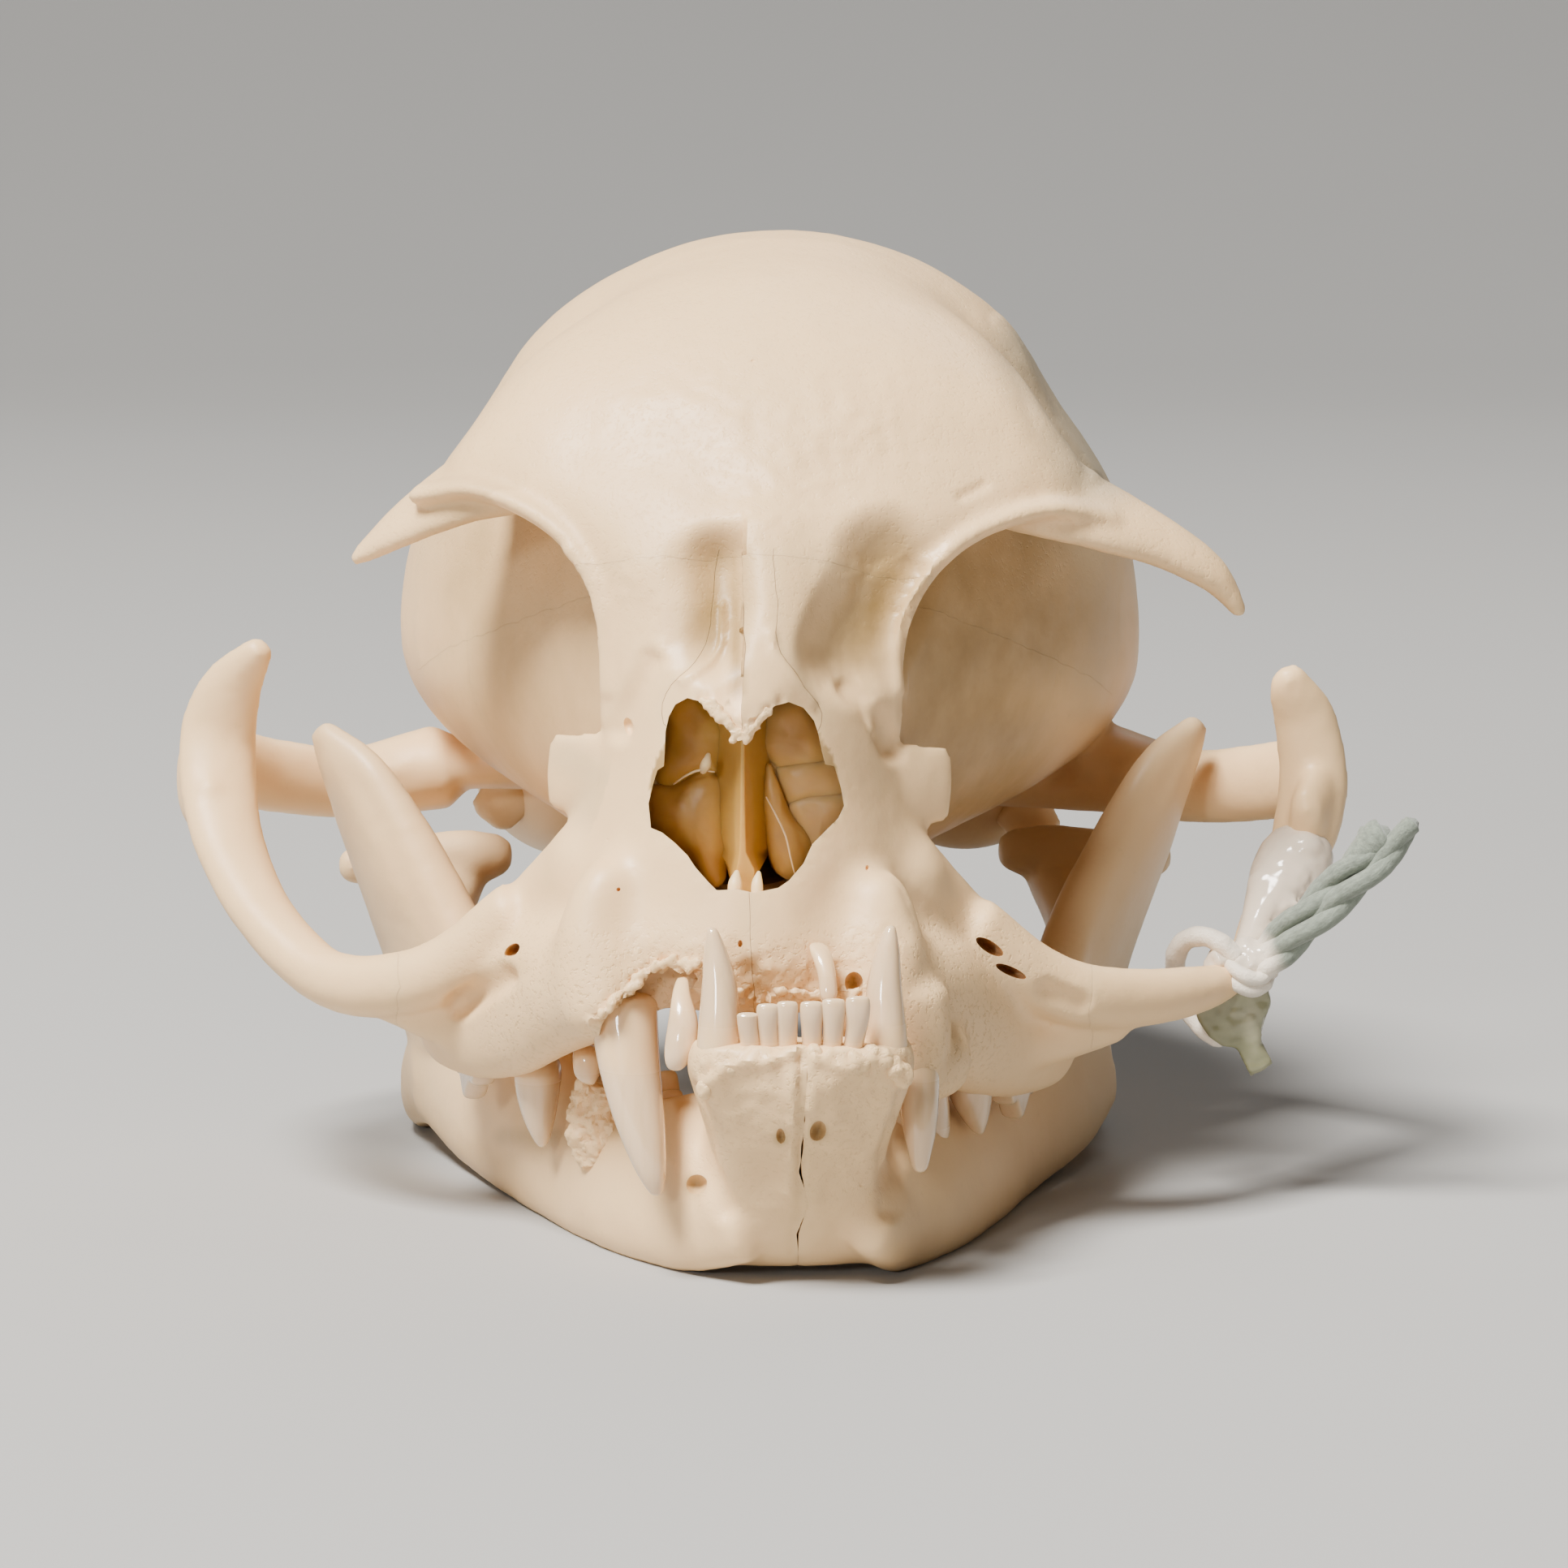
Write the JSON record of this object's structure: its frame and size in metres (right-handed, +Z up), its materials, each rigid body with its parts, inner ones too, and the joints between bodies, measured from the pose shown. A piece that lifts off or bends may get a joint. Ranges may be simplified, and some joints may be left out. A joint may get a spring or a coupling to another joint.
{
  "type": "cat skull",
  "caption": "Life-size short-faced cat skull with its lower jaw in place, divided into its bones, with a glued and tied cheek arch.",
  "frame": {"origin": "centre of the bounding box's bottom, on the surface that the jaw rests on", "axes": "+X to the animal's left (the viewer's right), +Y from the chin to the back of the skull, +Z up"},
  "size_m": [0.074, 0.0772, 0.0568],
  "materials": {
    "braincase": "dry, slightly porous",
    "bulla_left": "dry, slightly porous",
    "bulla_right": "dry, slightly porous",
    "frontal": "dry, slightly porous",
    "glue_repair": "clear and glossy",
    "lower_canine_left": "glossy",
    "lower_canine_right": "glossy",
    "mandible_left": "dry, smooth",
    "mandible_right": "dry, smooth",
    "maxilla_left": "dry, slightly porous",
    "maxilla_right": "dry, slightly porous",
    "nasal_left": "dry, slightly porous",
    "nasal_right": "dry, slightly porous",
    "nasal_septum": "thin stained bone",
    "occipital": "dry, slightly porous",
    "string_tie": "twisted fibre, stiff with glue",
    "upper_canine_left": "glossy",
    "upper_canine_right": "glossy",
    "zygomatic_left": "dry, slightly porous",
    "zygomatic_right": "dry, slightly porous"
  },
  "bodies": {
    "root": {"braincase": "braincase", "bulla_left": "bulla_left", "bulla_right": "bulla_right", "frontal": "frontal", "glue_repair": "glue_repair", "lower_canine_left": "lower_canine_left", "lower_canine_right": "lower_canine_right", "mandible_left": "mandible_left", "mandible_right": "mandible_right", "maxilla_left": "maxilla_left", "maxilla_right": "maxilla_right", "nasal_left": "nasal_left", "nasal_right": "nasal_right", "nasal_septum": "nasal_septum", "occipital": "occipital", "string_tie": "string_tie", "upper_canine_left": "upper_canine_left", "upper_canine_right": "upper_canine_right", "zygomatic_left": "zygomatic_left", "zygomatic_right": "zygomatic_right"}
  },
  "joints": []
}
